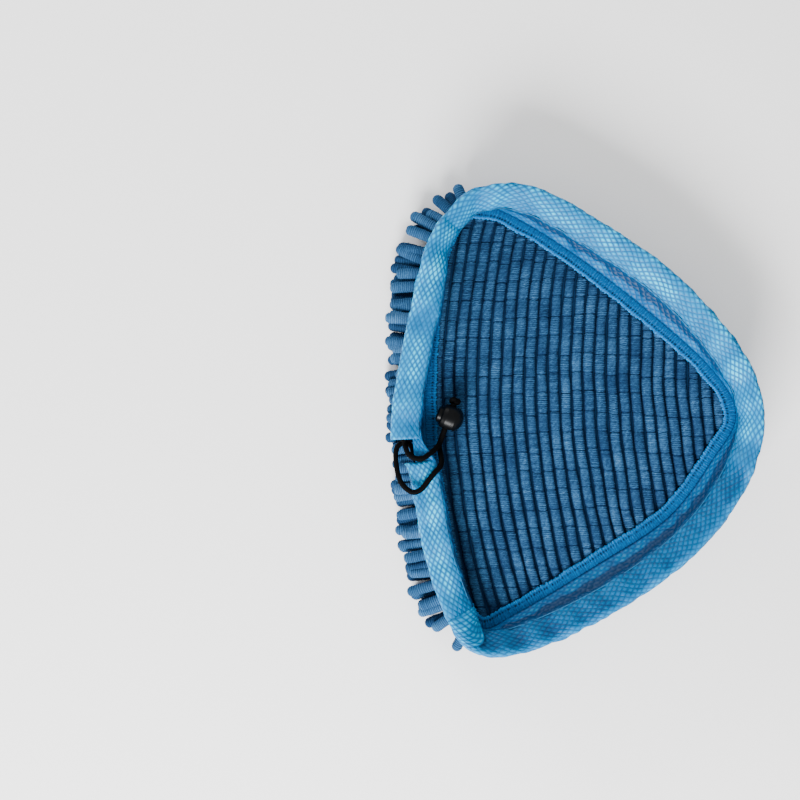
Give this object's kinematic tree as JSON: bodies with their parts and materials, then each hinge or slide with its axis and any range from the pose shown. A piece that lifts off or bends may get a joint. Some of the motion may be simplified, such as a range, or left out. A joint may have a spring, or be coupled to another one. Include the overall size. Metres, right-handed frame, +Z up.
{
  "type": "wash mitt",
  "caption": "Triangular chenille wash mitt lying pocket up, with a flared twill skirt, an elastic drawstring in a casing round the mouth and a spring cord lock.",
  "frame": {"origin": "middle of the footprint, on the surface that the finger tips stand on", "axes": "+Z up out of the pocket, +Y along the straight side towards the toe corner, +X towards the side corner"},
  "size_m": [0.2212, 0.2949, 0.0498],
  "materials": {
    "chenille": "dusty blue microfibre chenille, fuzzy with fine ribs across the yarn",
    "ground_cloth": "dark blue warp-knit ground cloth",
    "overlock_thread": "bright blue bulked overlock thread over the cut edge",
    "skirt_twill": "sky blue polyester twill with a slight sheen",
    "casing_twill": "sky blue polyester twill folded into a tunnel, with a slight sheen",
    "sewing_thread": "blue spun sewing thread",
    "elastic_cord": "black braided elastic cord",
    "lock_plastic": "black moulded plastic with a soft shine",
    "spring_steel": "bright drawn spring wire"
  },
  "bodies": {
    "mitt": {"chenille_row_01": "chenille", "chenille_row_02": "chenille", "chenille_row_03": "chenille", "chenille_row_04": "chenille", "chenille_row_05": "chenille", "chenille_row_06": "chenille", "chenille_row_07": "chenille", "chenille_row_08": "chenille", "chenille_row_09": "chenille", "chenille_row_10": "chenille", "chenille_row_11": "chenille", "chenille_row_12": "chenille", "chenille_row_13": "chenille", "chenille_row_14": "chenille", "chenille_row_15": "chenille", "chenille_row_16": "chenille", "chenille_row_17": "chenille", "chenille_row_18": "chenille", "chenille_row_19": "chenille", "chenille_row_20": "chenille", "chenille_row_21": "chenille", "chenille_row_22": "chenille", "chenille_row_23": "chenille", "chenille_row_24": "chenille", "chenille_row_25": "chenille", "ground_cloth": "ground_cloth", "overlock_seam": "overlock_thread", "skirt": "skirt_twill", "drawstring_casing": "casing_twill", "casing_stitching": "sewing_thread", "drawstring": "elastic_cord", "drawstring_upper_end": "elastic_cord", "drawstring_lower_end": "elastic_cord", "end_knot": "elastic_cord"},
    "cord_lock": {"lock_barrel": "lock_plastic", "lock_spring": "spring_steel"},
    "lock_button": {"lock_plunger": "lock_plastic"}
  },
  "joints": [
    {"name": "cord_lock_slide", "type": "slide", "parent": "mitt", "child": "cord_lock", "axis": [-0.342, -0.9397, 0], "range_m": [0, 0.008]},
    {"name": "button_press", "type": "slide", "parent": "cord_lock", "child": "lock_button", "axis": [0.9397, -0.342, 0], "range_m": [0, 0.0026], "stiffness_N_per_m": 800, "springref_m": -0.002, "deforming": ["lock_spring"]}
  ]
}
